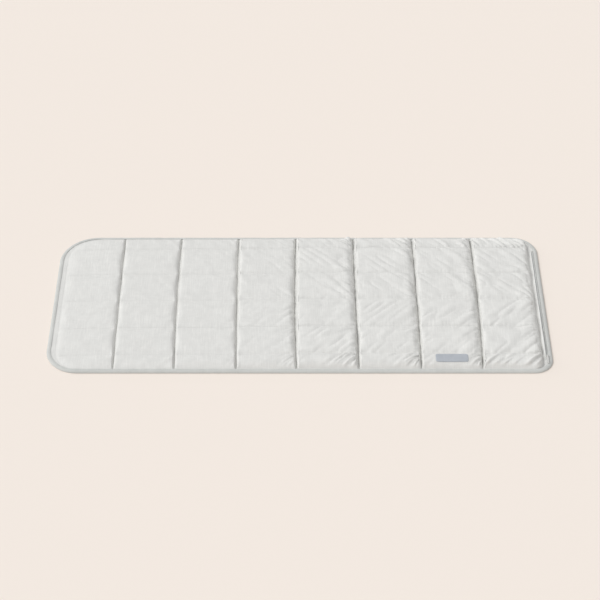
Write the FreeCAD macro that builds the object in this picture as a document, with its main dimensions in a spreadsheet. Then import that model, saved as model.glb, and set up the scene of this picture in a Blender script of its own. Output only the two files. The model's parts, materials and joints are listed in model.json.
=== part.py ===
"""Quilted cooling mat: padded columns in a bound edge, with a zip along the right end.

Millimetres. X runs along the mat, Y from the front edge to the back, Z up. The origin is the
centre of the underside. The mat folds at its seams, so every layer is split there into panels.
"""
import FreeCAD, Part
import Sketcher
import math
import os

os.makedirs("parts", exist_ok=True)
doc = FreeCAD.newDocument("quilted_mat")

# ---------------------------------------------------------------- driving dimensions
DIMENSIONS = {
    # whole mat
    "mat_length": 1200, "mat_width": 500, "column_count": 8,
    "corner_front_left": 77, "corner_back_left": 94, "corner_front_right": 46, "corner_back_right": 61,
    # edge binding, folded over the raw edge of the quilt
    "bind_width": 10, "bind_height": 6.5, "bind_wall": 2, "bind_lip": 1,
    # flat ends without padding
    "margin_width": 14,
    # layers
    "cloth": 1.2, "backing_step": 1.2, "backing_clear": 0.4, "slot_clear": 0.5, "flange_low": 3.8,
    "fill_low": 2.6, "crest": 20, "flank_radius": 11, "pillow_corner": 6, "pillow_edge_gap": 0.3,
    # deep seams, where the mat folds
    "hinge_height": 4, "seam_gap": 2, "pillow_gap": 4, "thread_radius": 0.5,
    # how far each deep seam is sewn to the right of its even place, from the left
    "seam_shift_1": -7, "seam_shift_2": -8, "seam_shift_3": -6, "seam_shift_4": -7.5,
    "seam_shift_5": -5, "seam_shift_6": -0.5, "seam_shift_7": 2,
    # shallow stitch lines across the columns
    "stitch_lines": 5, "stitch_pitch": 98, "groove_radius": 8, "groove_depth": 3, "thread_end": 5,
    # stitches on the flat left end, this far out from the padding
    "end_stitch_out": 0.8,
    # woven label on the seventh column
    "label_length": 77, "label_width": 26, "label_thick": 0.8, "label_corner": 5,
    "label_centre": 360, "label_from_front": 34, "label_border": 1.5, "label_thread": 0.3,
    "label_thread_width": 0.8,
    # zip along the right end
    "zip_centre": 587, "zip_front": -208, "zip_back": 195, "tape_thick": 0.5, "tape_end": 3,
    "tape_left": 577, "tape_right": 589.4, "welt_width": 7, "welt_height": 5, "welt_set_back": 10,
    "welt_radius": 2.2, "welt_corner": 0.8, "coil_width": 2.6, "coil_height": 1.8, "stop_length": 2.7,
    "slider_front": -203, "slider_length": 9, "slider_width": 5, "slider_plate": 1,
    "slider_wall": 0.9, "zip_clear": 0.3, "lug_thick": 0.8, "lug_height": 2.8, "lug_length": 2.6,
    "pin_height": 10.6, "pin_radius": 0.6, "pin_clear": 0.08, "pull_eye": 1.5, "pull_length": 24,
    "pull_width": 4.4, "pull_neck": 5, "pull_overlap": 1, "pull_thick": 1.2, "pull_corner": 1.2,
    "pull_tilt": 4.5,
}
sheet = doc.addObject("Spreadsheet::Sheet", "Sizes")
for row, (alias, number) in enumerate(DIMENSIONS.items(), start=1):
    sheet.set(f"A{row}", alias)
    sheet.set(f"B{row}", str(number))
    sheet.setAlias(f"B{row}", alias)
doc.recompute()

COLUMNS = int(sheet.column_count)
STITCH_LINES = int(sheet.stitch_lines)
LEFT_END, RIGHT_END = 1, COLUMNS

# expressions that several pieces share
HALF_LENGTH = "Sizes.mat_length / 2"
HALF_WIDTH = "Sizes.mat_width / 2"
FIELD_HALF = f"({HALF_LENGTH} - Sizes.bind_width - Sizes.margin_width)"
PITCH = f"(2 * {FIELD_HALF} / Sizes.column_count)"
PILLOW_EDGE = f"({HALF_WIDTH} - Sizes.bind_width - Sizes.pillow_edge_gap)"
FLANGE_TOP = "(Sizes.flange_low + Sizes.cloth)"
TAPE_TOP = f"({FLANGE_TOP} + Sizes.tape_thick)"

# the mat's corner radii, counterclockwise from the front right
MAT_CORNERS = ["Sizes.corner_front_right", "Sizes.corner_back_right",
               "Sizes.corner_back_left", "Sizes.corner_front_left"]

nodes = {}


def value(expression):
    """The number that an expression over the sheet stands for now, in millimetres."""
    result = sheet.evalExpression(expression)
    return float(getattr(result, "Value", result))


def bind(target, bindings):
    for path, expression in bindings.items():
        target.setExpression(path, expression)
    return target


def place(target, x="0", y="0", z="0"):
    return bind(target, {f".Placement.Base.{axis}": expression
                         for axis, expression in (("x", x), ("y", y), ("z", z))})


def node(name, piece):
    """This piece is a sub-part of its own."""
    piece.Label = name
    nodes[name] = piece
    return piece


def seam(number):
    """X of deep seam `number`, counted from the left; 0 and COLUMNS are the field's two ends."""
    shift = f" + Sizes.seam_shift_{number}" if 0 < number < COLUMNS else ""
    return f"({number} * {PITCH} - {FIELD_HALF}{shift})"


# ---------------------------------------------------------------- shape helpers
def box(name, west, east, south, north, low, high):
    piece = doc.addObject("Part::Box", name)
    bind(piece, {"Length": f"({east}) - ({west})", "Width": f"({north}) - ({south})",
                 "Height": f"({high}) - ({low})"})
    return place(piece, west, south, low)


def rod(name, radius, length, direction, x, y, z):
    """A cylinder that starts at the given point and runs along +X or +Y."""
    piece = doc.addObject("Part::Cylinder", name)
    bind(piece, {"Radius": radius, "Height": length})
    turn = {"X": FreeCAD.Rotation(FreeCAD.Vector(0, 1, 0), 90),
            "Y": FreeCAD.Rotation(FreeCAD.Vector(1, 0, 0), -90)}[direction]
    piece.Placement = FreeCAD.Placement(FreeCAD.Vector(), turn)
    return place(piece, x, y, z)


def cut(name, base, tool):
    piece = doc.addObject("Part::Cut", name)
    piece.Base, piece.Tool = base, tool
    return piece


def common(name, base, tool):
    piece = doc.addObject("Part::Common", name)
    piece.Base, piece.Tool = base, tool
    return piece


def fuse(name, *pieces):
    piece = doc.addObject("Part::MultiFuse", name)
    piece.Shapes = list(pieces)
    return piece


def origin_plane(body, role):
    return next(feature for feature in body.Origin.OriginFeatures if feature.Role == role)


def rounded_sketch(body, west, east, south, north, corners):
    """A rectangle on the body's XY plane, with four corner radii in the order of MAT_CORNERS."""
    sketch = body.newObject("Sketcher::SketchObject", body.Name + "_outline")
    sketch.AttachmentSupport = [(origin_plane(body, "XY_Plane"), "")]
    sketch.MapMode = "FlatFace"
    x0, x1, y0, y1 = value(west), value(east), value(south), value(north)
    se, ne, nw, sw = (value(radius) for radius in corners)
    ends = [((x0 + sw, y0), (x1 - se, y0)), ((x1, y0 + se), (x1, y1 - ne)),
            ((x1 - ne, y1), (x0 + nw, y1)), ((x0, y1 - nw), (x0, y0 + sw))]
    for start, end in ends:
        sketch.addGeometry(Part.LineSegment(FreeCAD.Vector(*start, 0), FreeCAD.Vector(*end, 0)))
    centres = [(x1 - se, y0 + se, se), (x1 - ne, y1 - ne, ne), (x0 + nw, y1 - nw, nw), (x0 + sw, y0 + sw, sw)]
    quarter = math.pi / 2
    for corner, (cx, cy, radius) in enumerate(centres):
        circle = Part.Circle(FreeCAD.Vector(cx, cy, 0), FreeCAD.Vector(0, 0, 1), radius)
        sketch.addGeometry(Part.ArcOfCircle(circle, (corner - 1) * quarter, corner * quarter))
    south_line, east_line, north_line, west_line = range(4)
    for line in range(4):
        arc, after = 4 + line, (line + 1) % 4
        sketch.addConstraint(Sketcher.Constraint("Tangent", line, 2, arc, 1))
        sketch.addConstraint(Sketcher.Constraint("Tangent", arc, 2, after, 1))
    for line in (south_line, north_line):
        sketch.addConstraint(Sketcher.Constraint("Horizontal", line))
    for line in (east_line, west_line):
        sketch.addConstraint(Sketcher.Constraint("Vertical", line))
    sizes = [("DistanceX", (-1, 1, west_line, 1), west), ("DistanceX", (-1, 1, east_line, 1), east),
             ("DistanceY", (-1, 1, south_line, 1), south), ("DistanceY", (-1, 1, north_line, 1), north)]
    sizes += [("Radius", (arc,), radius) for arc, radius in enumerate(corners, start=4)]
    for kind, places, expression in sizes:
        number = sketch.addConstraint(Sketcher.Constraint(kind, *places, value(expression)))
        sketch.setExpression(f"Constraints[{number}]", expression)
    return sketch


def rounded_pad(name, west, east, south, north, corners, low, high):
    """A body: the rounded rectangle, padded from the height `low` up to `high`."""
    body = doc.addObject("PartDesign::Body", name)
    sketch = rounded_sketch(body, west, east, south, north, corners)
    pad = body.newObject("PartDesign::Pad", name + "_pad")
    pad.Profile = sketch
    sketch.Visibility = False
    bind(pad, {"Length": f"({high}) - ({low})"})
    place(body, z=low)
    return body


def mat_plate(name, inset, low, high):
    """A plate with the mat's own outline, drawn in by `inset` all round."""
    return rounded_pad(name, f"-{HALF_LENGTH} + {inset}", f"{HALF_LENGTH} - {inset}",
                       f"-{HALF_WIDTH} + {inset}", f"{HALF_WIDTH} - {inset}",
                       [f"{corner} - {inset}" for corner in MAT_CORNERS], low, high)


def crown(body, radius):
    """Round every edge of the body's top face."""
    doc.recompute()
    pad = body.Tip
    top = pad.Shape.BoundBox.ZMax
    rim = [f"Edge{number}" for number, edge in enumerate(pad.Shape.Edges, start=1)
           if edge.BoundBox.ZMin > top - 0.01]
    fillet = body.newObject("PartDesign::Fillet", body.Name + "_crown")
    fillet.Base = (pad, rim)
    bind(fillet, {"Radius": radius})
    body.Tip = fillet
    return body


def column_window(number):
    """The box that holds one column's part of a layer, clear of the seams on both sides."""
    west = f"(-{HALF_LENGTH} - 1)" if number == LEFT_END else f"({seam(number - 1)} + Sizes.seam_gap)"
    east = f"({HALF_LENGTH} + 1)" if number == RIGHT_END else f"({seam(number)} - Sizes.seam_gap)"
    return box(f"window_{number}", west, east, f"(-{HALF_WIDTH} - 1)", f"({HALF_WIDTH} + 1)",
               "-1", "(Sizes.crest + 1)")


# ---------------------------------------------------------------- backing, binding, padding
def whole_layers():
    """The layers as they are before they are split at the seams."""
    low_backing = mat_plate("low_backing", "(Sizes.bind_width + Sizes.backing_clear)", "0", "Sizes.cloth")
    high_backing = mat_plate("high_backing", "(Sizes.bind_wall + Sizes.slot_clear)",
                             "Sizes.cloth", "(Sizes.cloth + Sizes.backing_step)")
    flange = mat_plate("top_flange", "(Sizes.bind_wall + Sizes.slot_clear)", "Sizes.flange_low", FLANGE_TOP)
    outside = mat_plate("binding_outside", "0", "0", "Sizes.bind_height")
    inside = mat_plate("binding_inside", "Sizes.bind_width", "-1", "(Sizes.bind_height + 1)")
    slot = mat_plate("binding_slot", "Sizes.bind_wall", "Sizes.bind_lip",
                     "(Sizes.bind_height - Sizes.bind_lip)")
    ring = cut("binding_ring", outside, inside)
    return {"backing": fuse("backing_whole", low_backing, high_backing),
            "flange": flange, "binding": cut("binding_whole", ring, slot)}


def groove_bars(name, extra):
    """Round bars along X that press the stitch lines into the padding."""
    radius = f"(Sizes.groove_radius + {extra})"
    bars = []
    for line in range(STITCH_LINES):
        y = f"({line} - (Sizes.stitch_lines - 1) / 2) * Sizes.stitch_pitch"
        z = "Sizes.crest - Sizes.groove_depth + Sizes.groove_radius"
        bars.append(rod(f"{name}_{line + 1}", radius, "Sizes.mat_length", "X", f"-{HALF_LENGTH}", y, z))
    return fuse(name, *bars)


def pillow(name, number, skin, low, grooves):
    """One column's padding, `skin` inside the outer surface of its cover."""
    west_gap = "Sizes.pillow_edge_gap" if number == LEFT_END else "Sizes.pillow_gap"
    east_gap = "Sizes.pillow_edge_gap" if number == RIGHT_END else "Sizes.pillow_gap"
    inset = "(Sizes.bind_width + Sizes.margin_width / 2)"
    corners = []
    for corner in MAT_CORNERS:
        at_mat_corner = number == (LEFT_END if corner.endswith("left") else RIGHT_END)
        radius = f"({corner} - {inset})" if at_mat_corner else "Sizes.pillow_corner"
        corners.append(f"({radius} - {skin})")
    body = rounded_pad(name + "_block",
                       f"({seam(number - 1)} + {west_gap} + {skin})",
                       f"({seam(number)} - {east_gap} - {skin})",
                       f"(-{PILLOW_EDGE} + {skin})", f"({PILLOW_EDGE} - {skin})",
                       corners, low, f"(Sizes.crest - {skin})")
    return cut(name, crown(body, f"Sizes.flank_radius - {skin}"), grooves)


def panel(number, layers, outer_grooves, inner_grooves):
    """Backing, binding, wadding, quilted cover and cross stitches of one column."""
    window = column_window(number)
    node(f"backing_panel_{number}", common(f"backing_cut_{number}", layers["backing"], window))
    node(f"binding_{number}", common(f"binding_cut_{number}", layers["binding"], window))
    fill = node(f"fill_{number}", pillow(f"fill_shape_{number}", number, "Sizes.cloth",
                                         "Sizes.fill_low", inner_grooves))
    skin = pillow(f"cover_shape_{number}", number, "0", "Sizes.flange_low", outer_grooves)
    flange = common(f"flange_cut_{number}", layers["flange"], window)
    cover = cut(f"cover_cut_{number}", fuse(f"cover_joined_{number}", skin, flange), fill)
    node(f"top_panel_{number}", cover)
    cross_stitch(number)


# ---------------------------------------------------------------- stitching
def cross_stitch(number):
    """The threads that lie in the column's shallow grooves."""
    west = f"({seam(number - 1)} + Sizes.pillow_gap + Sizes.thread_end)"
    east = f"({seam(number)} - Sizes.pillow_gap - Sizes.thread_end)"
    threads = []
    for line in range(STITCH_LINES):
        y = f"({line} - (Sizes.stitch_lines - 1) / 2) * Sizes.stitch_pitch"
        threads.append(rod(f"thread_{number}_{line + 1}", "Sizes.thread_radius", f"{east} - {west}", "X",
                           west, y, "Sizes.crest - Sizes.groove_depth + Sizes.thread_radius"))
    return node(f"cross_stitch_{number}", fuse(f"threads_{number}", *threads))


def seam_thread(number):
    """The thread of a deep seam: the fold axis runs through its middle."""
    thread = rod(f"seam_rod_{number}", "Sizes.thread_radius", f"2 * {PILLOW_EDGE}", "Y",
                 seam(number), f"-{PILLOW_EDGE}", "Sizes.hinge_height")
    return node(f"seam_thread_{number}", thread)


def end_stitching():
    """The line of stitches where the padding stops, on the flat left end."""
    front = f"(Sizes.corner_front_left - {HALF_WIDTH})"
    back = f"({HALF_WIDTH} - Sizes.corner_back_left)"
    thread = rod("end_rod", "Sizes.thread_radius", f"{back} - {front}", "Y",
                 f"-{FIELD_HALF} - Sizes.end_stitch_out", front, f"{FLANGE_TOP} + Sizes.thread_radius")
    return node("end_stitching", thread)


# ---------------------------------------------------------------- label
def label():
    """A plain woven label on the front half row of its column, with a thin line of stitches."""
    centre_y = f"(-{HALF_WIDTH} + Sizes.label_from_front)"

    def plate(name, inset, low, high):
        half_x = f"(Sizes.label_length / 2 - {inset})"
        half_y = f"(Sizes.label_width / 2 - {inset})"
        return rounded_pad(name, f"Sizes.label_centre - {half_x}", f"Sizes.label_centre + {half_x}",
                           f"{centre_y} - {half_y}", f"{centre_y} + {half_y}",
                           [f"Sizes.label_corner - {inset}"] * 4, low, high)

    top = "(Sizes.crest + Sizes.label_thick)"
    node("label", plate("label_plate", "0", "Sizes.crest", top))
    outer = plate("label_thread_outside", "Sizes.label_border", top, f"({top} + Sizes.label_thread)")
    inner = plate("label_thread_inside", "(Sizes.label_border + Sizes.label_thread_width)",
                  f"({top} - 1)", f"({top} + 1)")
    node("label_stitching", cut("label_thread", outer, inner))


# ---------------------------------------------------------------- zip
def zip_line():
    """Tape, coil, end stops and the folded welt beside them."""
    node("zip_tape", box("tape", "Sizes.tape_left", "Sizes.tape_right", "Sizes.zip_front",
                         "Sizes.zip_back", FLANGE_TOP, TAPE_TOP))
    welt_end = "(Sizes.tape_left + Sizes.welt_width)"
    welt_front = "(Sizes.zip_front + Sizes.welt_set_back)"
    welt = rounded_pad("welt", "Sizes.tape_left", welt_end, welt_front, "Sizes.zip_back",
                       ["Sizes.welt_corner"] * 4, TAPE_TOP, f"({TAPE_TOP} + Sizes.welt_height)")
    node("zip_welt", crown(welt, "Sizes.welt_radius"))
    west = "(Sizes.zip_centre - Sizes.coil_width / 2)"
    east = "(Sizes.zip_centre + Sizes.coil_width / 2)"
    coil_top = f"({TAPE_TOP} + Sizes.coil_height)"
    front, back = "Sizes.zip_front", "(Sizes.zip_back - Sizes.tape_end)"
    coil_front, coil_back = f"({front} + Sizes.stop_length)", f"({back} - Sizes.stop_length)"
    for name, south, north in (("zip_top_stop", front, coil_front), ("zip_coil", coil_front, coil_back),
                               ("zip_bottom_stop", coil_back, back)):
        node(name, box(name + "_bar", west, east, south, north, TAPE_TOP, coil_top))


PIN_Y = "(Sizes.slider_front + Sizes.slider_length / 2)"
LUG_INNER = "(Sizes.slider_width / 2 - Sizes.lug_thick)"


def zip_slider():
    """A saddle over the coil, with two lugs that carry the pull's pin."""
    x, half = "Sizes.zip_centre", "Sizes.slider_width / 2"
    front, back = "Sizes.slider_front", "(Sizes.slider_front + Sizes.slider_length)"
    plate_low = f"({TAPE_TOP} + Sizes.coil_height + Sizes.zip_clear)"
    plate_high = f"({plate_low} + Sizes.slider_plate)"
    wall_low = f"({TAPE_TOP} + Sizes.zip_clear)"
    pieces = [box("slider_plate", f"({x} - {half})", f"({x} + {half})", front, back, plate_low, plate_high)]
    for side, name in ((-1, "left"), (1, "right")):
        outer, inner = f"({x} + {side} * {half})", f"({x} + {side} * ({half} - Sizes.slider_wall))"
        lug_inner = f"({x} + {side} * {LUG_INNER})"
        west, east = (outer, inner) if side < 0 else (inner, outer)
        lug_west, lug_east = (outer, lug_inner) if side < 0 else (lug_inner, outer)
        pieces.append(box(f"slider_wall_{name}", west, east, front, back, wall_low, plate_high))
        pieces.append(box(f"slider_lug_{name}", lug_west, lug_east,
                          f"({PIN_Y} - Sizes.lug_length / 2)", f"({PIN_Y} + Sizes.lug_length / 2)",
                          plate_low, f"({plate_high} + Sizes.lug_height)"))
    pieces.append(rod("slider_pin", "Sizes.pin_radius", "Sizes.slider_width", "X",
                      f"({x} - {half})", PIN_Y, "Sizes.pin_height"))
    node("zip_slider", fuse("slider", *pieces))


def zip_pull():
    """A flat tab whose eye turns on the slider's pin. It is drawn about the pin, then tilted to rest."""
    eye_half = f"({LUG_INNER} - Sizes.zip_clear)"
    thick = "Sizes.pull_thick / 2"
    eye = rod("pull_eye", "Sizes.pull_eye", f"2 * {eye_half}", "X", f"-{eye_half}", "0", "0")
    hole = rod("pull_hole", "Sizes.pin_radius + Sizes.pin_clear", "Sizes.slider_width", "X",
               "-Sizes.slider_width / 2", "0", "0")
    neck = box("pull_neck_bar", f"-{eye_half}", eye_half, "-Sizes.pull_neck - Sizes.pull_overlap",
               "-Sizes.pin_radius", f"(-{thick})", thick)
    tab = rounded_pad("pull_tab", "-Sizes.pull_width / 2", "Sizes.pull_width / 2", "-Sizes.pull_length",
                      "-Sizes.pull_neck", ["Sizes.pull_corner"] * 4, f"(-{thick})", thick)
    pull = node("zip_pull", cut("pull", fuse("pull_solid", eye, neck, tab), hole))
    pull.Placement.Rotation = FreeCAD.Rotation(FreeCAD.Vector(1, 0, 0), value("Sizes.pull_tilt"))
    pull.setExpression(".Placement.Rotation.Angle", "Sizes.pull_tilt")
    place(pull, "Sizes.zip_centre", PIN_Y, "Sizes.pin_height")


# ---------------------------------------------------------------- build, check, write
layers = whole_layers()
outer_bars = groove_bars("outer_grooves", "0")
inner_bars = groove_bars("inner_grooves", "Sizes.cloth")
for column in range(1, COLUMNS + 1):
    panel(column, layers, outer_bars, inner_bars)
for between in range(1, COLUMNS):
    seam_thread(between)
end_stitching()
label()
zip_line()
zip_slider()
zip_pull()
doc.recompute()

for feature in doc.Objects:
    if {"Invalid", "Error"} & set(feature.State):
        raise RuntimeError(f"{feature.Label} failed: {feature.State}")
for name, piece in nodes.items():
    shape = piece.Shape
    if shape.isNull() or not shape.isValid() or not shape.Solids:
        raise RuntimeError(f"{name} has no valid solid")
for name, piece in nodes.items():
    piece.Shape.exportStep(f"parts/{name}.step")
    print(f"{name:18s} solids {len(piece.Shape.Solids)}  volume {piece.Shape.Volume:12.1f}")
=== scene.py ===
"""Looks of the quilted cooling mat: padded columns, backing, binding, stitching, label and zip.

Metres, in the CAD frame: X along the mat, Y from the front edge to the back, Z up.
"""
import json
import math

import bpy
import numpy as np
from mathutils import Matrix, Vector
from mathutils.bvhtree import BVHTree


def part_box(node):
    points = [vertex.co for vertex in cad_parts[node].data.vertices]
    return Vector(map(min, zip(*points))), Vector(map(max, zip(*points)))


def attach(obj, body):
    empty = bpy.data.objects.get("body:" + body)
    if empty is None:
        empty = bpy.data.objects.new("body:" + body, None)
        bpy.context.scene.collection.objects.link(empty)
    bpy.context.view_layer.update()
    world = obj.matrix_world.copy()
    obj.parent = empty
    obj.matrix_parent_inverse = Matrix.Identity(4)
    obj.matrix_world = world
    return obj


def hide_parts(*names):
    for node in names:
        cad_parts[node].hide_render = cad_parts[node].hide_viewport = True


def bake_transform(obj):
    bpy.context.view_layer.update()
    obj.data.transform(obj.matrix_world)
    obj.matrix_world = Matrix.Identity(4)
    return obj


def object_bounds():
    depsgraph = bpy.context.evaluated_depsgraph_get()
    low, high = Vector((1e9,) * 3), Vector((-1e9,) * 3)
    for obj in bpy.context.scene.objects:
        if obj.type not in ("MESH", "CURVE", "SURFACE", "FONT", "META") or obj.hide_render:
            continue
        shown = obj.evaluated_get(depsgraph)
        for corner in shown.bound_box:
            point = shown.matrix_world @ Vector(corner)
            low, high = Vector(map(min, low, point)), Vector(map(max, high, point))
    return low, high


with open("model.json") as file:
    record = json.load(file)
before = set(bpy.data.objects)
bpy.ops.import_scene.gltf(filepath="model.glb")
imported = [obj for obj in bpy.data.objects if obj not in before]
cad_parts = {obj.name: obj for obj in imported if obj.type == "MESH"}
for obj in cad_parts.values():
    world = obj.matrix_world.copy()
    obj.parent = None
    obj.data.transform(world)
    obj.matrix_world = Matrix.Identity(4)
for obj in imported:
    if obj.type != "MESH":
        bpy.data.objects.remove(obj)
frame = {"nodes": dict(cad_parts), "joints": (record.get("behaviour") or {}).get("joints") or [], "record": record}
CAD_LOW, CAD_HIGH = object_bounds()

MM = 0.001
SEED = 7

# ---------------------------------------------------------------- places, from the frame
FOLDS = [joint for joint in frame["joints"] if joint["name"].startswith("fold_")]
SEAMS = [joint["pos_m"][0] for joint in FOLDS]
HINGE_Z = FOLDS[0]["pos_m"][2]
FOLD_LIMIT = math.radians(FOLDS[0]["range_deg"][1])
COLUMNS = len(SEAMS) + 1
HALF_X, HALF_Y = CAD_HIGH.x, CAD_HIGH.y
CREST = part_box("top_panel_4")[1].z
FLANGE_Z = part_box("zip_tape")[0].z
BINDING_W = 10 * MM
FLAT_END = 14 * MM
FIELD_X = HALF_X - BINDING_W - FLAT_END
EDGES = [-FIELD_X, *SEAMS, FIELD_X]
LABEL_LOW, LABEL_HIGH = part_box("label")
LABEL_COLUMN = 1 + sum(LABEL_LOW.x > seam for seam in SEAMS)
FIELD_Y = HALF_Y - BINDING_W
# corner radii, as (front, back)
CORNERS_LEFT = (77 * MM, 94 * MM)
CORNERS_RIGHT = (46 * MM, 61 * MM)

# the stitch lines across the columns, from the front, each a little off its even place as sewn
STITCH_ROWS = [-194.5 * MM, -100 * MM, -1 * MM, 98 * MM, 195.5 * MM]
ROW_DEPTH = [1.9, 1.1, 0.8, 0.6, 0.8]
STITCH_PITCH = 4.2 * MM
STITCH_LENGTH = 3.0 * MM


# ---------------------------------------------------------------- curves and noise
def smooth(t):
    """0 to 1 with a level start and end."""
    t = np.clip(t, 0, 1)
    return t * t * (3 - 2 * t)


def rise(distance, width):
    """Height of a rounded shoulder: 0 at its foot, 1 at `width` and beyond."""
    return np.sin(np.clip(distance / width, 0, 1) * math.pi / 2)


def bulge(distance, width, fullness=2.0):
    """Height of a full, quarter-round shoulder, steep at its foot: 0 there, 1 at `width` and beyond."""
    return (1 - (1 - np.clip(distance / width, 0, 1)) ** fullness) ** (1 / fullness)


def noise(a, b, seed):
    """Smooth random numbers over a plane, between -1 and 1, that change over about one unit."""
    table = np.random.default_rng(SEED * 1000 + seed).uniform(-1, 1, (256, 256))
    a, b = np.broadcast_arrays(np.asarray(a, float), np.asarray(b, float))
    column, row = np.floor(a).astype(int), np.floor(b).astype(int)
    across, along = smooth(a - column), smooth(b - row)

    def corner(i, j):
        return table[(column + i) % 256, (row + j) % 256]

    low = corner(0, 0) * (1 - across) + corner(1, 0) * across
    high = corner(0, 1) * (1 - across) + corner(1, 1) * across
    return low * (1 - along) + high * along


def billow(a, b, seed):
    """Puffs with sharp valleys between them, around 0."""
    return np.abs(noise(a, b, seed)) - 0.34


def rounded_inside(x, y, half_x, half_y, radius):
    """How far inside a rounded rectangle a point is; negative outside."""
    past_x, past_y = np.abs(x) - half_x + radius, np.abs(y) - half_y + radius
    outside = np.hypot(np.maximum(past_x, 0), np.maximum(past_y, 0))
    return radius - outside - np.minimum(np.maximum(past_x, past_y), 0)


def corner_radius(x, y):
    """The radius of the mat's corner that is nearest."""
    left = np.where(np.asarray(y) < 0, *CORNERS_LEFT)
    right = np.where(np.asarray(y) < 0, *CORNERS_RIGHT)
    return np.where(np.asarray(x) < 0, left, right)


def mat_inside(x, y):
    """Distance in from the mat's edge."""
    return rounded_inside(x, y, HALF_X, HALF_Y, corner_radius(x, y))


def field_inside(x, y):
    """Distance in from the edge of the padding."""
    rounder = np.where(np.asarray(x) < 0, BINDING_W + FLAT_END / 2, BINDING_W + 16 * MM)
    return rounded_inside(x, y, FIELD_X, FIELD_Y, corner_radius(x, y) - rounder)


def end_of_row(y, inset, corners):
    """Half length of the mat at y, `inset` in from its edge, at the end with these two corners."""
    radius = np.where(np.asarray(y) < 0, *corners) - inset
    past = np.maximum(np.abs(y) - (HALF_Y - inset - radius), 0)
    return HALF_X - inset - radius + np.sqrt(np.maximum(radius ** 2 - past ** 2, 0))


# ---------------------------------------------------------------- meshes
def new_piece(name, points, faces, material):
    mesh = bpy.data.meshes.new(name)
    mesh.from_pydata([tuple(map(float, p)) for p in points], [], [tuple(map(int, f)) for f in faces])
    mesh.update()
    mesh.materials.append(material)
    mesh.polygons.foreach_set("use_smooth", [True] * len(mesh.polygons))
    piece = bpy.data.objects.new(name, mesh)
    bpy.context.scene.collection.objects.link(piece)
    return piece


def grid_faces(rows, columns, start=0, upward=True):
    """Four-sided faces over rows x columns points, numbered row by row from `start`."""
    number = start + np.arange(rows * columns).reshape(rows, columns)
    corners = [number[:-1, :-1], number[:-1, 1:], number[1:, 1:], number[1:, :-1]]
    return np.stack(corners if upward else corners[::-1], -1).reshape(-1, 4).tolist()


def grid_normals(grid):
    normal = np.cross(np.gradient(grid, axis=1), np.gradient(grid, axis=0))
    return normal / np.linalg.norm(normal, axis=-1, keepdims=True)


def doubled(grid):
    """The grid with a point added between every two, on the smooth curve through them."""
    for axis in (0, 1):
        line = np.moveaxis(grid, axis, 0)
        longer = np.concatenate([2 * line[:1] - line[1:2], line, 2 * line[-1:] - line[-2:-1]])
        finer = np.empty((2 * len(line) - 1, *line.shape[1:]))
        finer[0::2] = line
        finer[1::2] = (9 * (longer[1:-2] + longer[2:-1]) - longer[:-3] - longer[3:]) / 16
        grid = np.moveaxis(finer, 0, axis)
    return grid


def slab(name, upper, lower, material):
    """A closed form between two grids of the same shape."""
    rows, columns = upper.shape[:2]
    count = rows * columns
    faces = grid_faces(rows, columns) + grid_faces(rows, columns, count, upward=False)
    number = np.arange(count).reshape(rows, columns)
    rim = [*number[0, :], *number[1:, -1], *number[-1, -2::-1], *number[-2:0:-1, 0]]
    for here, after in zip(rim, rim[1:] + rim[:1]):
        faces.append((here, here + count, after + count, after))
    return new_piece(name, np.concatenate([upper.reshape(-1, 3), lower.reshape(-1, 3)]), faces, material)


def tube(rings):
    """Points and faces of a closed tube: rings of points, capped at both ends."""
    rings = np.asarray(rings)
    count, sides = rings.shape[:2]
    faces = []
    for i in range(count - 1):
        for j in range(sides):
            k = (j + 1) % sides
            faces.append((i * sides + j, i * sides + k, (i + 1) * sides + k, (i + 1) * sides + j))
    faces += [tuple(range(sides - 1, -1, -1)), tuple((count - 1) * sides + j for j in range(sides))]
    return rings.reshape(-1, 3), faces


class Meshes:
    """Gathers many small closed forms into one piece."""

    def __init__(self):
        self.points, self.faces, self.count = [], [], 0

    def add(self, points, faces):
        self.points.append(points)
        self.faces += [tuple(k + self.count for k in face) for face in faces]
        self.count += len(points)

    def piece(self, name, material):
        return new_piece(name, np.concatenate(self.points), self.faces, material)


STITCH_SIDES = 6
STITCH_ABOVE = 0.12 * MM    # how far the middle of a stitch stands above the cloth
# the form of one stitch from end to end, as shares: place along it, drop below its top, thickness
STITCH_SHAPE = [(-0.5, 1, 0.55), (-0.4, 0.35, 0.9), (0, 0, 1), (0.4, 0.35, 0.9), (0.5, 1, 0.55)]


def stitch_form(centre, along, up, length=STITCH_LENGTH, radius=0.36 * MM, sink=0.45 * MM):
    """One stitch: a short thick thread whose two ends go down into the cloth."""
    along, up = Vector(along).normalized(), Vector(up)
    side = along.cross(up).normalized()
    up = side.cross(along)
    rings = []
    for part, drop, width in STITCH_SHAPE:
        middle = Vector(centre) + along * (part * length) - up * (drop * sink)
        rings.append([
            middle + (side * math.cos(turn) + up * math.sin(turn)) * radius * width
            for turn in np.arange(STITCH_SIDES) * 2 * math.pi / STITCH_SIDES
        ])
    return tube(rings)


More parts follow.
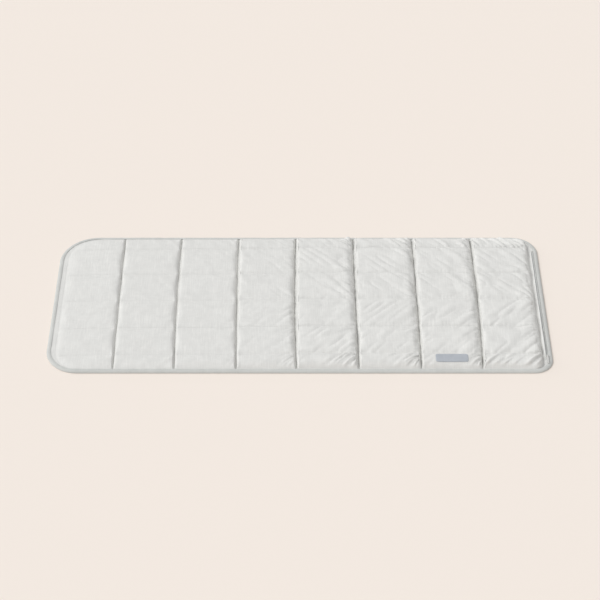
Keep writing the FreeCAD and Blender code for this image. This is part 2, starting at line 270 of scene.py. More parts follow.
# ---------------------------------------------------------------- materials
class Finish:
    """A material whose nodes are added and linked by short calls. Places are in millimetres."""

    def __init__(self, name, roughness, sheen=0.0, metallic=0.0):
        self.material = bpy.data.materials.new(name)
        self.material.use_nodes = True
        self.nodes, self.links = self.material.node_tree.nodes, self.material.node_tree.links
        self.shader = self.nodes["Principled BSDF"]
        self.shader.inputs["Roughness"].default_value = roughness
        self.shader.inputs["Metallic"].default_value = metallic
        self.shader.inputs["Sheen Weight"].default_value = sheen
        self.shader.inputs["Sheen Roughness"].default_value = 0.5
        self.place = self.nodes.new("ShaderNodeTexCoord").outputs["Object"]

    def fill(self, socket, item):
        if isinstance(item, bpy.types.NodeSocket):
            self.links.new(item, socket)
        else:
            socket.default_value = item

    def scaled(self, x, y, z, shift=0.0):
        """Coordinates that pass 1 in x, y and z millimetres."""
        node = self.nodes.new("ShaderNodeMapping")
        node.inputs["Scale"].default_value = [1000 / size for size in (x, y, z)]
        node.inputs["Location"].default_value = (shift, shift * 1.7, shift * 2.3)
        self.links.new(self.place, node.inputs["Vector"])
        return node.outputs["Vector"]

    def noise(self, vector, detail=2.0):
        node = self.nodes.new("ShaderNodeTexNoise")
        node.inputs["Scale"].default_value = 1.0
        node.inputs["Detail"].default_value = detail
        self.links.new(vector, node.inputs["Vector"])
        return node.outputs["Fac"]

    def threads(self, size, direction, uneven=0.5):
        """Rows of rounded threads, one each `size` millimetres."""
        node = self.nodes.new("ShaderNodeTexWave")
        node.bands_direction = direction
        node.inputs["Scale"].default_value = math.pi / 10
        node.inputs["Distortion"].default_value = uneven
        self.links.new(self.scaled(size, size, size), node.inputs["Vector"])
        return node.outputs["Fac"]

    def math(self, operation, first, second):
        node = self.nodes.new("ShaderNodeMath")
        node.operation = operation
        self.fill(node.inputs[0], first)
        self.fill(node.inputs[1], second)
        return node.outputs[0]

    def levels(self, factor, low, high, to_low=0.0, to_high=1.0):
        node = self.nodes.new("ShaderNodeMapRange")
        for name, item in (("From Min", low), ("From Max", high), ("To Min", to_low), ("To Max", to_high)):
            node.inputs[name].default_value = item
        self.links.new(factor, node.inputs["Value"])
        return node.outputs["Result"]

    def colours(self, factor, first, second):
        node = self.nodes.new("ShaderNodeMix")
        node.data_type = "RGBA"
        self.links.new(factor, node.inputs["Factor"])
        self.fill(node.inputs[6], (*first, 1))
        self.fill(node.inputs[7], (*second, 1))
        self.links.new(node.outputs[2], self.shader.inputs["Base Color"])

    def bump(self, height, millimetres, strength=1.0):
        node = self.nodes.new("ShaderNodeBump")
        node.inputs["Distance"].default_value = millimetres * MM
        node.inputs["Strength"].default_value = strength
        self.links.new(height, node.inputs["Height"])
        self.links.new(node.outputs["Normal"], self.shader.inputs["Normal"])


def woven(name, dark, light, thread, slub=1.0, roughness=0.9, sheen=0.15, relief=0.12):
    """Plain-woven cloth: crossing threads, thicker uneven yarns both ways and faint mottling."""
    finish = Finish(name, roughness, sheen)
    weave = finish.math("MULTIPLY", finish.threads(thread, "X"), finish.threads(thread, "Y"))
    long_yarns = finish.levels(finish.noise(finish.scaled(1.9, 34, 30), 3), 0.48, 0.72)
    cross_yarns = finish.levels(finish.noise(finish.scaled(30, 1.9, 30, 3), 3), 0.52, 0.76)
    yarns = finish.math("ADD", long_yarns, finish.math("MULTIPLY", cross_yarns, 0.55))
    tone = finish.math("ADD", finish.math("MULTIPLY", yarns, 0.30 * slub),
                       finish.math("MULTIPLY", finish.noise(finish.scaled(22, 22, 22, 11), 4), 0.6))
    tone = finish.math("ADD", tone, finish.math("MULTIPLY", weave, 0.15))
    finish.colours(finish.levels(tone, 0.2, 0.8), dark, light)
    finish.bump(finish.math("ADD", weave, finish.math("MULTIPLY", yarns, 1.2 * slub)), relief, 0.9)
    return finish.material


def polished(name, dark, light, roughness, metallic=0.0):
    """Metal or nylon with a fine worn grain."""
    finish = Finish(name, roughness, metallic=metallic)
    grain = finish.noise(finish.scaled(0.7, 2.5, 0.7), 4)
    finish.colours(finish.levels(grain, 0.35, 0.7), dark, light)
    worn = finish.levels(grain, 0.3, 0.7, roughness * 0.8, roughness * 1.25)
    finish.links.new(worn, finish.shader.inputs["Roughness"])
    finish.bump(grain, 0.02, 0.6)
    return finish.material


QUILT = woven("quilt_cloth", (0.72, 0.717, 0.696), (0.84, 0.835, 0.81), 0.9)
BACKING = woven("backing_cloth", (0.66, 0.66, 0.64), (0.77, 0.77, 0.75), 0.7, slub=0.3)
BINDING = woven("binding_tape", (0.58, 0.59, 0.57), (0.69, 0.70, 0.68), 0.8, slub=0.4)
THREAD = woven("sewing_thread", (0.70, 0.70, 0.68), (0.84, 0.84, 0.82), 0.25, slub=0.0)
LABEL = woven("label_weave", (0.43, 0.46, 0.50), (0.54, 0.565, 0.61), 0.45, slub=0.2, roughness=0.75)
LABEL_THREAD = woven("label_thread", (0.62, 0.65, 0.68), (0.78, 0.80, 0.82), 0.25, slub=0.0)
ZIP_CLOTH = woven("zip_tape_cloth", (0.72, 0.73, 0.71), (0.83, 0.83, 0.81), 0.5, slub=0.1)
WELT = woven("welt_cloth", (0.78, 0.78, 0.76), (0.87, 0.87, 0.85), 0.9, slub=0.6)
NYLON = polished("zip_nylon", (0.70, 0.71, 0.70), (0.80, 0.81, 0.80), 0.42)
METAL = polished("zip_metal", (0.80, 0.79, 0.77), (0.90, 0.89, 0.87), 0.34, metallic=0.6)

# ---------------------------------------------------------------- quilted tops
CLOTH_GRID = 3.6 * MM
TUCKED = 5 * MM             # how far in from the mat's edge the cloth ends, inside the binding
SEAM_EDGE_Z = HINGE_Z - 0.4 * MM
# column by column from the left: the right-hand ones are fuller, looser and more creased. The slack is a
# share of the cloth's length; the shoulders, the depths and heights of folds and the drop are in millimetres
SLACK = [0.005, 0.005, 0.006, 0.012, 0.016, 0.017, 0.018, 0.018]
PRESSURE = [250, 250, 350, 600, 950, 1050, 1100, 1250]
WEST_SHOULDER = [5, 3, 3, 3, 3, 3, 3, 3]
EAST_SHOULDER = [4, 4, 5, 9, 15, 18, 18, 16]
STITCH_DEPTH = [0.6, 0.7, 0.9, 1.5, 2.0, 2.2, 2.2, 2.2]
GATHERS = [0.7, 1.0, 1.5, 3.6, 5.0, 5.2, 5.2, 5.4]
FANS = [0.3, 0.5, 0.8, 2.0, 3.6, 4.2, 4.2, 4.0]
DRAGS = [0.4, 0.7, 1.0, 3.2, 5.2, 6.0, 6.0, 6.2]
CRUMPLE = [0.5, 0.5, 0.6, 1.3, 2.1, 2.2, 2.3, 2.4]
BELOW_CREST = [9.5, 9, 8.2, 5, 2.2, 2, 2, 2]
GAP_AT_ZIP = 0.8 * MM       # the right end's padding stops this far short of the zip's flap
LOW_END = 130 * MM          # how far the first column rises from its thin left end to its full height
# how far off the straight fold axis each deep seam wanders, in millimetres: front, middle, back
SEAM_DRIFT = [(2, -1, -1), (3, -3, -1), (3.5, -2.5, -3), (3, -3.5, 0),
              (3.5, -1, -3.5), (1, 1, -3.5), (-3, 3.5, -2.5)]


def seam_line(number, y):
    """X of deep seam `number` at y, sewn a little off the straight fold axis."""
    front, middle, back = SEAM_DRIFT[number - 1]
    along = y / HALF_Y
    bow = middle + (back - front) / 2 * along + ((back + front) / 2 - middle) * along ** 2
    return SEAMS[number - 1] + bow * MM + 0.7 * MM * noise(y / (34 * MM), number, 20)


def column_sides(number, y, inset):
    """Where a column starts and ends in X; the outer ones follow the mat's rounded ends."""
    west = -end_of_row(y, inset, CORNERS_LEFT) if number == 1 else seam_line(number - 1, y)
    east = end_of_row(y, inset, CORNERS_RIGHT) if number == COLUMNS else seam_line(number, y)
    return west, east


def column_grid(number, across, rows, inset):
    """Points of a column, row by row from the front, all at z = 0."""
    reach = HALF_Y - inset
    y, share = np.meshgrid(np.linspace(-reach, reach, rows), np.linspace(0, 1, across), indexing="ij")
    west, east = column_sides(number, y, inset)
    return np.stack([west + (east - west) * share, y, np.zeros_like(y)], -1)


def from_seams(number, x, y):
    """Distances from the column's west and east seams, large where it has none."""
    far = np.full_like(x, FIELD_X)
    return (x - seam_line(number - 1, y) if number > 1 else far,
            seam_line(number, y) - x if number < COLUMNS else far)


def from_stitches(y):
    return np.min([np.abs(y - row) for row in STITCH_ROWS], axis=0)


def start_height(number, x, y):
    """The column before it is puffed up: shoulders at its seams and ends, a groove at each stitch line."""
    look = number - 1
    to_west, to_east = from_seams(number, x, y)
    pinch = 1 + 0.3 * np.exp(-from_stitches(y) / (16 * MM))
    end_shoulder = EAST_SHOULDER[look] if number == COLUMNS else 15
    seams = rise(to_west, WEST_SHOULDER[look] * MM * pinch) * bulge(to_east, EAST_SHOULDER[look] * MM * pinch)
    foot = SEAM_EDGE_Z + (FLANGE_Z - SEAM_EDGE_Z) * rise(np.minimum(to_west, to_east), 8 * MM)
    inside = field_inside(x, y) - GAP_AT_ZIP * smooth((x - FIELD_X + 60 * MM) / (40 * MM))
    body = seams * bulge(inside, end_shoulder * MM, 2.8 if number == COLUMNS else 2.0)
    if number == COLUMNS:       # drawn down along the zip, where the padding ends
        beside_zip = smooth((x - FIELD_X + 40 * MM) / (30 * MM))
        foot = foot - 1.6 * MM * np.exp(-((inside + 2 * MM) / (2.8 * MM)) ** 2) * beside_zip
    if number == 1:
        body = body * (0.35 + 0.65 * smooth((x + FIELD_X) / LOW_END))
    top = CREST - BELOW_CREST[look] * MM + 0.8 * MM * noise(x / (70 * MM), y / (60 * MM), 30 + number)
    if number == COLUMNS:
        top = top - 2 * MM * smooth((x - SEAMS[-1]) / (FIELD_X - SEAMS[-1]))
    depth = np.interp(y, STITCH_ROWS, ROW_DEPTH) * STITCH_DEPTH[look]
    groove = depth * MM * np.exp(-from_stitches(y) / (4 * MM))
    return foot + (top - foot - groove) * body


def puffed(number, grid, sewn):
    """The cloth blown up over its wadding by a cloth simulation, with a little spare length to crease."""
    rows, columns = grid.shape[:2]
    points = grid.reshape(-1, 3)
    slack = SLACK[number - 1]
    x, y = points[:, 0], points[:, 1]
    cut = points.copy()
    for axis, seed in ((0, 40), (1, 60)):
        drift = noise(x / (40 * MM), y / (40 * MM), seed + number)
        cut[:, axis] += slack * (points[:, axis] - points[:, axis].mean() + 18 * MM * drift)
    piece = new_piece("cloth", points, grid_faces(rows, columns), QUILT)
    piece.shape_key_add(name="sewn")
    key = piece.shape_key_add(name="cut")
    key.data.foreach_set("co", cut.ravel())
    group = piece.vertex_groups.new(name="sewn")
    group.add(np.nonzero(sewn.ravel())[0].tolist(), 1.0, "REPLACE")
    cloth = piece.modifiers.new("cloth", "CLOTH")
    settings = cloth.settings
    settings.quality = 5
    settings.mass = 0.15
    settings.tension_stiffness = settings.compression_stiffness = 12
    settings.shear_stiffness = 3
    settings.bending_stiffness = 0.05
    settings.use_pressure = True
    settings.uniform_pressure_force = PRESSURE[number - 1]
    settings.vertex_group_mass = "sewn"
    settings.rest_shape_key = key
    settings.effector_weights.gravity = 0
    cloth.collision_settings.use_collision = False
    cloth.point_cache.frame_start, cloth.point_cache.frame_end = 1, 20
    for step in range(1, 21):
        bpy.context.scene.frame_set(step)
    settled = np.empty(points.size)
    piece.evaluated_get(bpy.context.evaluated_depsgraph_get()).data.vertices.foreach_get("co", settled)
    bpy.data.objects.remove(piece)
    bpy.context.scene.frame_set(1)
    move = settled.reshape(grid.shape) - grid
    length = np.linalg.norm(move, axis=-1, keepdims=True)
    most = 3 * MM
    return grid + move * most * np.tanh(length / most) / np.maximum(length, 1e-9)


def creases(number, grid):
    """Height of the small folds, in metres: gathers at seams and stitch lines, fans and crumples."""
    look = number - 1
    x, y = grid[..., 0], grid[..., 1]
    to_west, to_east = from_seams(number, x, y)
    if number == COLUMNS:
        to_east = field_inside(x, y)
    near_stitch = from_stitches(y)
    total = CRUMPLE[look] * slanting(x, y, 24 * MM, 75 * MM, 80 + 3 * number)
    for distance, strength, seed in ((to_west, 0.35, 100), (to_east, 1.0, 120)):
        reach = smooth(distance / (4 * MM)) * np.exp(-distance / (15 * MM))
        folds = (billow(distance / (40 * MM), (y + 0.3 * distance) / (8 * MM), seed + number)
                 + 0.5 * billow(distance / (22 * MM), (y - 0.4 * distance) / (4.5 * MM), seed + 40 + number))
        total = total + GATHERS[look] * strength * reach * folds
    puckers = smooth(near_stitch / (2 * MM)) * np.exp(-near_stitch / (7 * MM))
    ripples = billow(x / (9 * MM), near_stitch / (25 * MM), 200 + number)
    total = total + 0.3 * GATHERS[look] * puckers * ripples
    total = total + DRAGS[look] * drags(number, x, y, to_east)
    focus = seam_line(number, y) if number < COLUMNS else np.full_like(x, FIELD_X)
    for order, row in enumerate(STITCH_ROWS):
        outward = 1 if order >= 2 else -1
        outermost = order in (0, len(STITCH_ROWS) - 1)
        away, beyond = focus + 6 * MM - x, (y - row) * outward
        radius, angle = np.hypot(away, beyond), np.arctan2(beyond, away)
        fading = 1 - smooth((radius - 38 * MM) / (62 * MM))
        spread = smooth(radius / (14 * MM)) * fading * smooth(beyond / (5 * MM))
        within = 1 if outermost else 1 - smooth((beyond - 60 * MM) / (30 * MM))
        lines = billow(angle / (0.15 if outermost else 0.3), radius / (120 * MM), 300 + 10 * number + order)
        total = total + FANS[look] * (1.0 if outermost else 0.8) * spread * within * lines
    body = smooth(np.minimum(to_west, to_east) / (6 * MM)) * smooth(field_inside(x, y) / (10 * MM))
    if number == LABEL_COLUMN:
        body = body * (1 - 0.9 * under_label(x, y))
    return total * MM * body * smooth(near_stitch / (2.5 * MM))


def slanting(x, y, over, along, seed):
    """Billows `over` wide and `along` long, drawn to the front left, or to the back left in the back half."""
    total = np.zeros_like(x)
    for side in (-1, 1):
        half = smooth(0.5 + side * y / (60 * MM))
        total += half * billow((side * x + y) / over, (x - side * y) / along, seed + side)
    return total


def drags(number, x, y, to_east):
    """Slanting folds that start at the east seam, sharp along the mat's long edges and broad between them."""
    total = np.zeros_like(x)
    outer = smooth((np.abs(y) - 190 * MM) / (8 * MM))
    for side in (-1, 1):
        half = smooth(0.5 + side * y / (60 * MM))
        over, along = (side * x + y) / (11 * MM), (x - side * y) / (110 * MM)
        sharp = billow(over, along, 700 + 2 * number + side)
        broad = billow(over / 2.4, along, 730 + 2 * number + side)
        total += half * (outer * sharp * (1.25 if side > 0 else 1) + (1 - outer) * 0.75 * broad)
    return total * smooth((to_east - 3 * MM) / (9 * MM)) * np.exp(-(to_east / (62 * MM)) ** 2)


def under_label(x, y):
    """1 below the label, 0 from a little way outside it: its stiff cloth holds the quilt flat."""
    middle, half = (LABEL_LOW + LABEL_HIGH) / 2, (LABEL_HIGH - LABEL_LOW) / 2
    return smooth(1 + rounded_inside(x - middle.x, y - middle.y, half.x, half.y, 4 * MM) / (9 * MM))


def kept_clear(number, grid):
    """Holds the cloth out of the wedge that the next column's needs when the two fold together."""
    slope = math.tan(FOLD_LIMIT / 2 + math.radians(0.6))
    need = np.maximum(grid[..., 2] - HINGE_Z, 0) * slope
    if number > 1:
        grid[..., 0] = np.maximum(grid[..., 0], np.where(need > 0, SEAMS[number - 2] + need, -np.inf))
    if number < COLUMNS:
        grid[..., 0] = np.minimum(grid[..., 0], np.where(need > 0, SEAMS[number - 1] - need, np.inf))
    return grid


def column_width(number):
    width = EDGES[number] - EDGES[number - 1]
    return width if 1 < number < COLUMNS else width + HALF_X - FIELD_X


def quilted_top(number):
    across = int(round(column_width(number) / CLOTH_GRID)) + 1
    rows = int(round(2 * (HALF_Y - TUCKED) / CLOTH_GRID)) + 1
    grid = column_grid(number, across, rows, TUCKED)
    x, y = grid[..., 0], grid[..., 1]
    grid[..., 2] = start_height(number, x, y)
    to_west, to_east = from_seams(number, x, y)
    sewn = (np.minimum(to_west, to_east) < 0.5 * MM) | (field_inside(x, y) < 0.5 * MM)
    sewn |= from_stitches(y) <= CLOTH_GRID / 2
    grid = puffed(number, grid, sewn)
    grid = doubled(grid)
    grid = kept_clear(number, grid + grid_normals(grid) * creases(number, grid)[..., None])
    return closed_top(number, grid)


def closed_top(number, grid):
    """The puffed cloth closed by a flat underside that starts just below its edges."""
    rows, columns = grid.shape[:2]
    count = rows * columns
    west, east = grid[:, 0].copy(), grid[:, -1].copy()
    west[:, 2] = east[:, 2] = SEAM_EDGE_Z - 0.4 * MM
    faces = grid_faces(rows, columns)
    for row in range(rows - 1):
        left, right = row * columns, row * columns + columns - 1
        under_left, under_right = count + row, count + rows + row
        faces += [(left, left + columns, under_left + 1, under_left),
                  (right + columns, right, under_right, under_right + 1),
                  (under_left, under_left + 1, under_right + 1, under_right)]
    last = count - columns
    faces.append((*range(columns - 1, -1, -1), count, count + rows))
    faces.append((*range(last, last + columns), count + 2 * rows - 1, count + rows - 1))
    return new_piece(f"quilt_{number}", np.concatenate([grid.reshape(-1, 3), west, east]), faces, QUILT)


quilts = []
for column in range(1, COLUMNS + 1):
    quilt = quilted_top(column)
    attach(quilt, f"panel_{column}")
    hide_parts(f"top_panel_{column}", f"fill_{column}")
    quilts.append(quilt)


def surface_tree(piece):
    """The piece's surface, in the form that finds the point of it below a place."""
    mesh = piece.data
    return BVHTree.FromPolygons([v.co for v in mesh.vertices], [p.vertices for p in mesh.polygons])


surfaces = [surface_tree(quilt) for quilt in quilts]


def column_at(x):
    return 1 + sum(x > seam for seam in SEAMS)


def on_quilt(x, y, number=None):
    """The point of the quilted surface above x, y and the surface's direction there."""
    tree = surfaces[(number or column_at(x)) - 1]
    point, normal, _, _ = tree.ray_cast(Vector((x, y, 0.1)), Vector((0, 0, -1)))
    return point, normal


# ---------------------------------------------------------------- backing
BACKING_CLOTH = 0.8 * MM


def backing(number):
    """The under cloth of a column, drawn up to the seams at its sides and a little at the stitch lines."""
    share = np.concatenate([[0, 0.01, 0.022, 0.038], np.linspace(0.06, 0.94, 20), [0.962, 0.978, 0.99, 1]])
    y = np.linspace(-(HALF_Y - 3 * MM), HALF_Y - 3 * MM, 120)
    y, share = np.meshgrid(y, share, indexing="ij")
    west, east = column_sides(number, y, 3 * MM)
    x = west + (east - west) * share
    to_west, to_east = from_seams(number, x, y)
    drawn_up = 1 - rise(np.minimum(to_west, to_east), 6 * MM)
    under_binding = 1 - smooth((mat_inside(x, y) - 8 * MM) / (6 * MM))
    ripple = 0.35 * MM * (1 + noise(x / (16 * MM), y / (12 * MM), 400 + number))
    z = 0.05 * MM + ripple + 1.2 * MM * np.exp(-from_stitches(y) / (4 * MM)) * (1 - drawn_up)
    z = z * (1 - under_binding) + 1.3 * MM * under_binding
    z = np.maximum(z, (SEAM_EDGE_Z - 1.3 * MM) * drawn_up)
    lower = np.stack([x, y, z], -1)
    upper = lower + np.array([0, 0, BACKING_CLOTH])
    return slab(f"backing_{number}", upper, lower, BACKING)


for column in range(1, COLUMNS + 1):
    cloth = backing(column)
    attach(cloth, f"panel_{column}")
    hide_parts(f"backing_panel_{column}")

# ---------------------------------------------------------------- binding
BINDING_STEP = 2.4 * MM
# the tape's outer face in millimetres, as distance in from the edge and height, from below round to the top
TAPE_FACE = [(9.6, 0.0), (6.0, 0.0), (2.0, 0.0), (0.7, 0.15), (0.1, 0.7), (0.0, 1.6), (0.25, 2.8), (1.0, 4.0),
             (2.3, 5.1), (4.0, 5.95), (5.8, 6.4), (7.2, 6.3), (8.3, 5.95), (9.2, 6.2), (9.8, 6.15)]
TAPE_BACK = [(9.9, 5.45), (8.2, 5.25), (6.0, 5.55), (4.2, 5.1), (2.7, 4.35), (1.6, 3.5), (1.05, 2.6),
             (1.3, 1.6), (3.0, 0.85), (6.0, 0.85), (9.6, 0.8)]
SEWN_AT = 8.3 * MM


def edge_path(points):
    """Even steps along a run of the mat's edge: each step's place and the direction in from the edge."""
    points = np.asarray(points, float)
    along = np.concatenate([[0], np.cumsum(np.linalg.norm(np.diff(points, axis=0), axis=1))])
    at = np.linspace(0, along[-1], int(round(along[-1] / BINDING_STEP)) + 1)
    at = np.concatenate([[0, 0.05 * MM], at[1:-1], [at[-1] - 0.05 * MM, at[-1]]])
    place = np.stack([np.interp(at, along, points[:, k]) for k in (0, 1)], 1)
    run = np.gradient(place, axis=0)
    run /= np.linalg.norm(run, axis=1, keepdims=True)
    return at, place, np.stack([-run[:, 1], run[:, 0]], 1)


def corner_arc(side_x, side_y, half_x, half_y, radius):
    """A quarter turn, counterclockwise, at the corner on those two sides of a rectangle."""
    start = {(1, -1): -90, (1, 1): 0, (-1, 1): 90, (-1, -1): 180}[side_x, side_y]
    turn = np.radians(np.linspace(start, start + 90, 40))
    return np.stack([side_x * (half_x - radius) + radius * np.cos(turn),
                     side_y * (half_y - radius) + radius * np.sin(turn)], 1)


def mat_end(side, corners, middle):
    """The mat's edge round one end, counterclockwise, between the middles of the end column's long edges."""
    front, back = (corner_arc(side, along, HALF_X, HALF_Y, radius) for along, radius in zip((-1, 1), corners))
    if side > 0:
        return np.concatenate([[(middle, -HALF_Y)], front, back, [(middle, HALF_Y)]])
    return np.concatenate([[(middle, HALF_Y)], back, front, [(middle, -HALF_Y)]])


def tape_height(x, y):
    """How much higher or lower than its plain shape the binding lies, as sewn cloth does."""
    long_waves = noise(x / (17 * MM), y / (17 * MM), 500)
    short_waves = noise(x / (5 * MM), y / (5 * MM), 501)
    return 0.35 * MM * long_waves + 0.2 * MM * short_waves


def binding(name, points):
    """Closed tape folded round the edge along a run of it, and its stitches."""
    travelled, place, inward = edge_path(points)
    profile = np.array(TAPE_FACE + TAPE_BACK) * MM
    ring = place[:, None, :] + inward[:, None, :] * profile[None, :, :1]
    lift = tape_height(ring[..., 0], ring[..., 1]) * smooth(profile[:, 1] / (5 * MM))[None]
    waver = 0.3 * MM * noise(ring[..., 0] / (13 * MM), ring[..., 1] / (13 * MM), 502)
    near_rim = smooth(1 - np.abs(profile[:, :1] / MM - 3) / 4)
    above_floor = smooth(profile[:, 1] / (3 * MM))
    free = near_rim[None] * above_floor[None, :, None]
    ring = ring - inward[:, None, :] * waver[..., None] * free * 0.5
    rings = np.concatenate([ring, (profile[None, :, 1] + lift)[..., None]], -1)
    points, faces = tube(rings[:, ::-1])
    tape = new_piece(name, points, faces, BINDING)
    stitches = Meshes()
    for at in np.arange(STITCH_PITCH / 2, travelled[-1], STITCH_PITCH):
        centre = np.array([np.interp(at, travelled, place[:, k]) for k in (0, 1)])
        turned = np.array([np.interp(at, travelled, inward[:, k]) for k in (0, 1)])
        spot = centre + turned * SEWN_AT
        height = 6.1 * MM + tape_height(*spot)
        stitches.add(*stitch_form((*spot, height), (turned[1], -turned[0], 0), (0, 0, 1)))
    return tape, stitches.piece(f"{name}_stitches", THREAD)


middles = [(west + east) / 2 for west, east in zip(EDGES, EDGES[1:])]
middles[0] = -HALF_X + max(CORNERS_LEFT) + 14 * MM      # clear of the corners' curves
west_end, east_end = mat_end(-1, CORNERS_LEFT, middles[0]), mat_end(1, CORNERS_RIGHT, middles[-1])
for name, points, body, node in (("binding_west", west_end, "panel_1", "binding_1"),
                                 ("binding_east", east_end, f"panel_{COLUMNS}", f"binding_{COLUMNS}")):
    tape, stitches = binding(name, points)
    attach(tape, body)
    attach(stitches, body)
    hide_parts(node)
for seam in range(1, COLUMNS):
    for side, edge, ends in (("front", -HALF_Y, (middles[seam - 1], middles[seam])),
                             ("back", HALF_Y, (middles[seam], middles[seam - 1]))):
        tape, stitches = binding(f"binding_{side}_{seam}", [(ends[0], edge), (ends[1], edge)])
        for piece, finish in ((tape, "binding_tape"), (stitches, "thread")):
            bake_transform(piece)
        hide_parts(f"binding_{seam}", f"binding_{seam + 1}")


# ---------------------------------------------------------------- stitching
def seam_stitches(number):
    """Stitches along the bottom of a deep seam, over the fold axis."""
    stitches = Meshes()
    for y in np.arange(-FIELD_Y + 4 * MM, FIELD_Y - 4 * MM, STITCH_PITCH):
        stitches.add(*stitch_form((seam_line(number, y), y, HINGE_Z + 0.1 * MM), (0, 1, 0), (0, 0, 1)))
    return stitches.piece(f"seam_stitches_{number}", THREAD)


def cross_stitches(number):
    """Stitches across a column along its five stitch lines, lying in the grooves of the cloth."""
    stitches = Meshes()
    for row in STITCH_ROWS:
        west, east = (float(side) for side in column_sides(number, np.float64(row), BINDING_W + FLAT_END))
        for x in np.arange(west + 3.5 * MM, east - 3.5 * MM, STITCH_PITCH):
            point, normal = on_quilt(x, row, number)
            before, _ = on_quilt(x - 1.5 * MM, row, number)
            after, _ = on_quilt(x + 1.5 * MM, row, number)
            stitches.add(*stitch_form(point + Vector((0, 0, STITCH_ABOVE)), after - before, (0, 0, 1)))
    return stitches.piece(f"cross_stitches_{number}", THREAD)


for seam in range(1, COLUMNS):
    thread = seam_stitches(seam)
    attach(thread, next(body for body, nodes in frame["record"]["behaviour"]["bodies"].items()
                         if f"seam_thread_{seam}" in nodes))
    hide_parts(f"seam_thread_{seam}")
for column in range(1, COLUMNS + 1):
    thread = cross_stitches(column)
    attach(thread, f"panel_{column}")
    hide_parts(f"cross_stitch_{column}")

end_low, end_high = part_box("end_stitching")
stitches = Meshes()
for y in np.arange(end_low.y, end_high.y, STITCH_PITCH):
    point, _ = on_quilt(end_low.x - 3 * MM, y, 1)
    stitches.add(*stitch_form(point + Vector((0, 0, STITCH_ABOVE)), (0, 1, 0), (0, 0, 1)))
thread = stitches.piece("end_stitches", THREAD)
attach(thread, "panel_1")
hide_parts("end_stitching")

# ---------------------------------------------------------------- label
LABEL_CORNER = 5 * MM
LABEL_THICK = 0.8 * MM


def smoothed(values, times):
    """Each height evened out with the four beside it, so many times over."""
    for _ in range(times):
        padded = np.pad(values, 1, mode="edge")
        beside = padded[:-2, 1:-1] + padded[2:, 1:-1] + padded[1:-1, :-2] + padded[1:-1, 2:]
        values = (beside + 2 * values) / 6
    return values


def label():
    """A plain woven label lying on the quilt, with rounded corners and a sewn-down edge."""
    centre = (LABEL_LOW + LABEL_HIGH) / 2
    half_x, half_y = (LABEL_HIGH.x - LABEL_LOW.x) / 2, (LABEL_HIGH.y - LABEL_LOW.y) / 2
    v, u = np.meshgrid(np.linspace(-1, 1, 22), np.linspace(-1, 1, 64), indexing="ij")
    y = v * half_y
    past = np.maximum(np.abs(y) - (half_y - LABEL_CORNER), 0)
    reach = half_x - LABEL_CORNER + np.sqrt(np.maximum(LABEL_CORNER ** 2 - past ** 2, 0))
    x = u * reach
    inside = rounded_inside(x, y, half_x, half_y, LABEL_CORNER)
    lower = np.empty((*x.shape, 3))
    for index in np.ndindex(x.shape):
        point, _ = on_quilt(centre.x + x[index], centre.y + y[index], LABEL_COLUMN)
        lower[index] = point
    level = smoothed(lower[..., 2], 40)
    lower[..., 2] = np.maximum(level, lower[..., 2] - 0.3 * MM) - 0.1 * MM
    upper = lower.copy()
    sewn_down = 0.35 * MM * np.exp(-(((inside - 1.6 * MM) / (0.7 * MM)) ** 2))
    upper[..., 2] += LABEL_THICK - sewn_down - 0.25 * MM * (1 - rise(inside, 0.5 * MM))
    return slab("label_tape", upper, lower, LABEL), centre


tape, label_centre = label()
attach(tape, "panel_7")
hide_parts("label")
label_tree = surface_tree(tape)
stitch_low, stitch_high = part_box("label_stitching")
half_x, half_y = (stitch_high.x - stitch_low.x) / 2, (stitch_high.y - stitch_low.y) / 2
outline = np.concatenate([corner_arc(*corner, half_x, half_y, LABEL_CORNER - 1.5 * MM)
                          for corner in ((1, 1), (-1, 1), (-1, -1), (1, -1))])
outline = np.concatenate([outline, outline[:1]])
along = np.concatenate([[0], np.cumsum(np.linalg.norm(np.diff(outline, axis=0), axis=1))])
stitches = Meshes()
for at in np.arange(0, along[-1] - 1 * MM, 2.6 * MM):
    here, ahead = (Vector([np.interp(at + step, along, outline[:, k]) for k in (0, 1)] + [0])
                   for step in (0, 0.5 * MM))
    spot, _, _, _ = label_tree.ray_cast(label_centre + here + Vector((0, 0, 0.1)), Vector((0, 0, -1)))
    stitches.add(*stitch_form(spot + Vector((0, 0, 0.1 * MM)), ahead - here, (0, 0, 1),
                              length=1.9 * MM, radius=0.25 * MM, sink=0.25 * MM))
thread = stitches.piece("label_stitches", LABEL_THREAD)
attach(thread, "panel_7")
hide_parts("label_stitching")

# ---------------------------------------------------------------- zip
ZIP_BODY = f"panel_{COLUMNS}"


def zip_tape():
    low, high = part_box("zip_tape")
    hidden = 4 * MM     # its edge lies back under the flap
    y, x = np.meshgrid(np.linspace(low.y, high.y, 180), np.linspace(low.x + hidden, high.x, 12),
                       indexing="ij")
    wave = 0.12 * MM * noise(x / (9 * MM), y / (8 * MM), 600)
    lower = np.stack([x, y, np.full_like(x, low.z)], -1)
    upper = np.stack([x, y, high.z + wave], -1)
    return slab("zip_tape_cloth", upper, lower, ZIP_CLOTH)


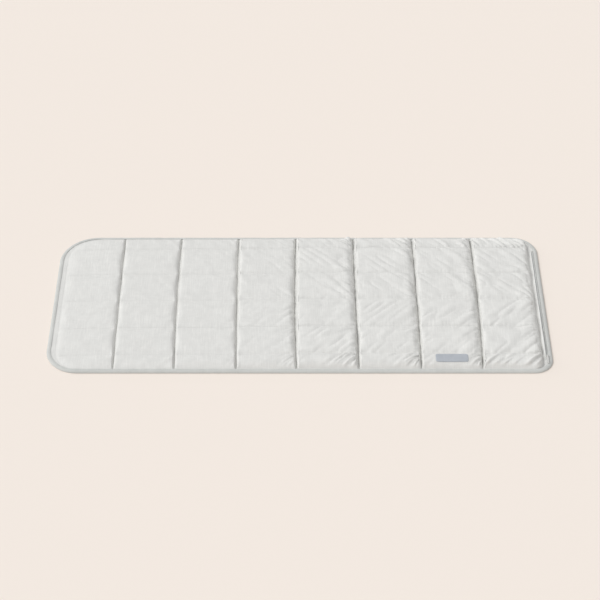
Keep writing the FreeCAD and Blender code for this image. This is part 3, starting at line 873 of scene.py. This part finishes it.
def zip_welt():
    """The padded flap beside the zip, drawn in at each stitch line and narrower towards the back."""
    low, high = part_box("zip_welt")
    half_w, height = (high.x - low.x) / 2, high.z - low.z
    turn = np.arange(18) * 2 * math.pi / 18
    rings = []
    for y in np.linspace(low.y, high.y, 230):
        ends = float(rise(min(y - low.y, high.y - y), 9 * MM))
        pinch = 1 - 0.4 * math.exp(-float(from_stitches(np.float64(y))) / (8 * MM))
        taper = 1 - 0.4 * float(smooth((y + 160 * MM) / (200 * MM)))
        fullness = (0.25 + 0.75 * ends) * pinch * taper
        fold = 1 + 0.1 * float(billow(0, y / (9 * MM), 610)) + 0.06 * noise(turn, y / (6 * MM), 611)
        sway = (1 - fullness) * half_w * (0.4 + 0.2 * float(noise(0, y / (50 * MM), 612)))
        round_x, round_z = (np.sign(f) * np.abs(f) ** 0.75 for f in (np.cos(turn), np.sin(turn)))
        x = low.x + half_w + sway + 1.7 * MM + round_x * half_w * fullness * fold * 0.76
        z = low.z + height * 0.62 * fullness * (1 + round_z * fold)
        rings.append(np.stack([x, np.full_like(x, y), z], -1))
    points, faces = tube(np.array(rings)[:, ::-1])
    return new_piece("zip_flap", points, faces, WELT)


def zip_teeth():
    """The coil's teeth: small nylon loops, turned a little left and right in turn."""
    low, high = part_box("zip_coil")
    teeth = Meshes()
    half = (high.x - low.x) / 2
    turn = np.arange(8) * 2 * math.pi / 8
    for order, y in enumerate(np.arange(low.y + 0.9 * MM, high.y - 0.5 * MM, 1.6 * MM)):
        rings = []
        for across in np.linspace(-1, 1, 7):
            shape = math.sqrt(1 - (0.93 * across) ** 2)
            lean = (0.3 if order % 2 else -0.3) * MM * across
            middle = (low.x + half + across * half, y + lean, low.z + 0.15 * MM + 0.8 * MM * shape)
            rings.append([(middle[0], middle[1] + math.cos(t) * 0.55 * MM,
                           middle[2] + math.sin(t) * 0.7 * MM * (0.35 + 0.65 * shape)) for t in turn])
        teeth.add(*tube(rings))
    return teeth.piece("zip_teeth", NYLON)


for piece, finish, node in ((zip_tape(), "zip_cloth", "zip_tape"), (zip_welt(), "welt_cloth", "zip_welt"),
                            (zip_teeth(), "zip_nylon", "zip_coil")):
    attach(piece, ZIP_BODY)
    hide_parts(node)
for node in ("zip_slider", "zip_pull", "zip_top_stop", "zip_bottom_stop"):
    piece = frame["nodes"][node]
    piece.data.materials.clear()
    piece.data.materials.append(METAL)
    worn = piece.modifiers.new("worn edges", "BEVEL")
    worn.width, worn.segments = 0.25 * MM, 2


# ---------------------------------------------------------------- stage
def camera():
    """From the front, looking down at the mat with a long lens."""
    elevation, distance = math.radians(41.2), 4.60
    data = bpy.data.cameras.new("camera")
    data.lens, data.sensor_width = 112.8, 36
    data.shift_x, data.shift_y = 0.0015, 0.0057
    data.clip_start, data.clip_end = 0.1, 40
    view = bpy.data.objects.new("camera", data)
    view.location = (0, -distance * math.cos(elevation), distance * math.sin(elevation))
    view.rotation_euler = (math.pi / 2 - elevation, 0, 0)
    bpy.context.scene.collection.objects.link(view)
    bpy.context.scene.camera = view


def light(name, direction, strength, softness):
    data = bpy.data.lights.new(name, "SUN")
    data.energy, data.angle = strength, math.radians(softness)
    lamp = bpy.data.objects.new(name, data)
    lamp.rotation_euler = Vector(direction).to_track_quat("-Z", "Y").to_euler()
    bpy.context.scene.collection.objects.link(lamp)


def stage():
    finish = Finish("pale_floor", 0.95)
    finish.shader.inputs["Base Color"].default_value = (0.905, 0.825, 0.757, 1)
    corners = [(-6, -6, 0), (6, -6, 0), (6, 6, 0), (-6, 6, 0)]
    new_piece("floor", corners, [(0, 1, 2, 3)], finish.material)
    world = bpy.data.worlds.new("studio")
    world.use_nodes = True
    world.node_tree.nodes["Background"].inputs["Strength"].default_value = 0.55
    world.node_tree.nodes["Background"].inputs["Color"].default_value = (1, 1, 1, 1)
    bpy.context.scene.world = world
    light("window", (0.64, 0.1, -0.77), 1.62, 30)
    light("low_window", (0.85, -0.42, -0.32), 0.42, 40)
    bpy.context.scene.view_settings.view_transform = "Standard"


camera()
stage()
